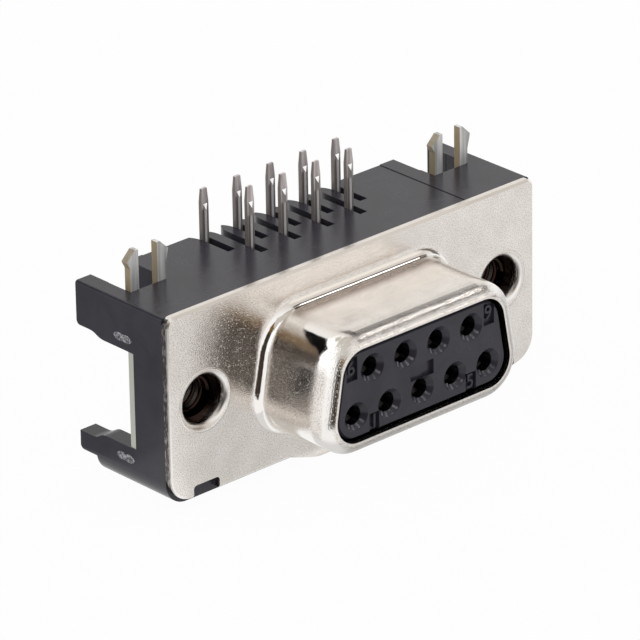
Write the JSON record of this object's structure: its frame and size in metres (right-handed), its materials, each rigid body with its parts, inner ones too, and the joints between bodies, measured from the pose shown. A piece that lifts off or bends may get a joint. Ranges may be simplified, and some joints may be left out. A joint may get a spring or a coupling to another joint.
{
  "type": "d-sub connector",
  "caption": "Right-angle D-shaped socket connector for a circuit board: drawn steel shell, moulded housing with a tail comb, sprung board locks and jack screw inserts.",
  "frame": {"origin": "centre of the mating pattern, in the plane of the flange's front face", "axes": "-Y towards the mating plug, +Z towards the circuit board, X along the flange with contact 5 at +X"},
  "size_m": [0.0308, 0.0145, 0.0173],
  "materials": {
    "shell": "satin tin or nickel plate",
    "housing": "moulded glass-filled thermoplastic, slight gloss",
    "contacts": "tin-plated copper alloy, satin",
    "locks": "tin-plated spring bronze, bare cut edges",
    "inserts": "turned steel, blackened"
  },
  "bodies": {
    "root": {"front_shell": "shell", "housing": "housing", "contact_1": "contacts", "contact_2": "contacts", "contact_3": "contacts", "contact_4": "contacts", "contact_5": "contacts", "contact_6": "contacts", "contact_7": "contacts", "contact_8": "contacts", "contact_9": "contacts", "board_lock_left": "locks", "board_lock_right": "locks", "insert_left": "inserts", "insert_right": "inserts"}
  },
  "joints": []
}
